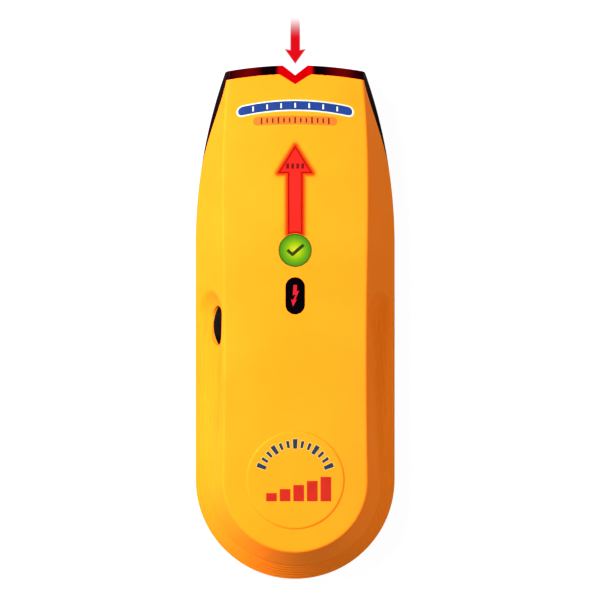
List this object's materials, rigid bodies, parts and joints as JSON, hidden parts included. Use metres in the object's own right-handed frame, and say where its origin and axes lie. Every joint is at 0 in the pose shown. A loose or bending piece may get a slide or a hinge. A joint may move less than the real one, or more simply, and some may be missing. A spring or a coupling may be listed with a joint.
{
  "type": "stud finder",
  "caption": "Hand-held stud finder with a notched, lens-tipped nose, an arrow window, thumb scoops, a side button and a battery door in its flat back.",
  "frame": {"origin": "middle of the flat back that slides on the wall", "axes": "+Z out of the front face, +Y towards the notched nose, +X to the right of a user who looks at the front face"},
  "size_m": [0.064, 0.165, 0.0312],
  "materials": {
    "amber_abs": "fine satin moulding",
    "back_abs": "fine satin moulding",
    "smoke_lens": "polished translucent smoke red",
    "red_lens": "polished translucent red",
    "green_lens": "polished translucent yellow green",
    "black_gloss": "glossy black",
    "black_rubber": "soft matte",
    "white_abs": "matte white",
    "label_paper": "blank silver-grey film",
    "circuit_board": "green solder mask",
    "copper": "bare copper",
    "chip_black": "moulded epoxy",
    "tinned": "tinned metal",
    "ceramic_tan": "fired ceramic",
    "can_metal": "drawn aluminium can",
    "clear_red": "tinted lamp epoxy",
    "clear_green": "tinted lamp epoxy",
    "black_abs": "black moulding",
    "brass": "thin brass",
    "white_ceramic": "silvered ceramic",
    "battery_steel": "printed steel jacket",
    "cell_steel": "plain steel",
    "nickel": "nickel plate",
    "foam": "open foam",
    "wire_red": "insulation",
    "wire_black": "insulation",
    "screw_steel": "zinc plated"
  },
  "bodies": {
    "case": {"front_shell": "amber_abs", "back_shell": "back_abs", "nose_lens": "smoke_lens", "back_label": "label_paper", "arrow_window": "red_lens", "ready_window": "green_lens", "hazard_window": "black_gloss", "bolt_window": "red_lens", "light_shroud": "white_abs", "main_board": "circuit_board", "sensor_plates": "copper", "controller_chip": "chip_black", "sensing_chip": "chip_black", "chip_pins": "tinned", "resistors": "chip_black", "ceramic_capacitors": "ceramic_tan", "can_capacitors": "can_metal", "arrow_lamps": "clear_red", "ready_lamp": "clear_green", "hazard_lamp": "clear_red", "pointer_lamps": "clear_red", "pointer_legs": "tinned", "switch_board": "circuit_board", "board_header": "black_abs", "header_pins": "tinned", "switch_body": "black_abs", "piezo_disc": "brass", "piezo_ceramic": "white_ceramic", "battery_can": "battery_steel", "battery_cells": "cell_steel", "battery_header": "black_abs", "battery_snaps": "nickel", "contact_plate": "black_abs", "contact_snaps": "nickel", "battery_lead_red": "wire_red", "battery_lead_black": "wire_black", "piezo_lead_red": "wire_red", "piezo_lead_black": "wire_black", "case_screws": "screw_steel", "board_screws": "screw_steel"},
    "button": {"side_button": "black_rubber", "switch_plunger": "white_abs"},
    "door": {"battery_door": "back_abs", "door_foam": "foam"},
    "latch": {"door_latch": "black_abs"}
  },
  "joints": [
    {"name": "button_press", "type": "slide", "parent": "case", "child": "button", "axis": [1, 0, 0], "range_m": [0, 0.0009], "stiffness_N_per_m": 1200, "springref_m": -0.0005},
    {"name": "door_hinge", "type": "hinge", "parent": "case", "child": "door", "pos_m": [0, -0.0206, 0.0018], "axis": [1, 0, 0], "range_deg": [0, 90]},
    {"name": "latch_flex", "type": "hinge", "parent": "door", "child": "latch", "pos_m": [0, -0.0727, 0.0012], "axis": [-1, 0, 0], "range_deg": [0, 6], "stiffness_Nm_per_rad": 0.1, "springref_deg": -2.86}
  ]
}
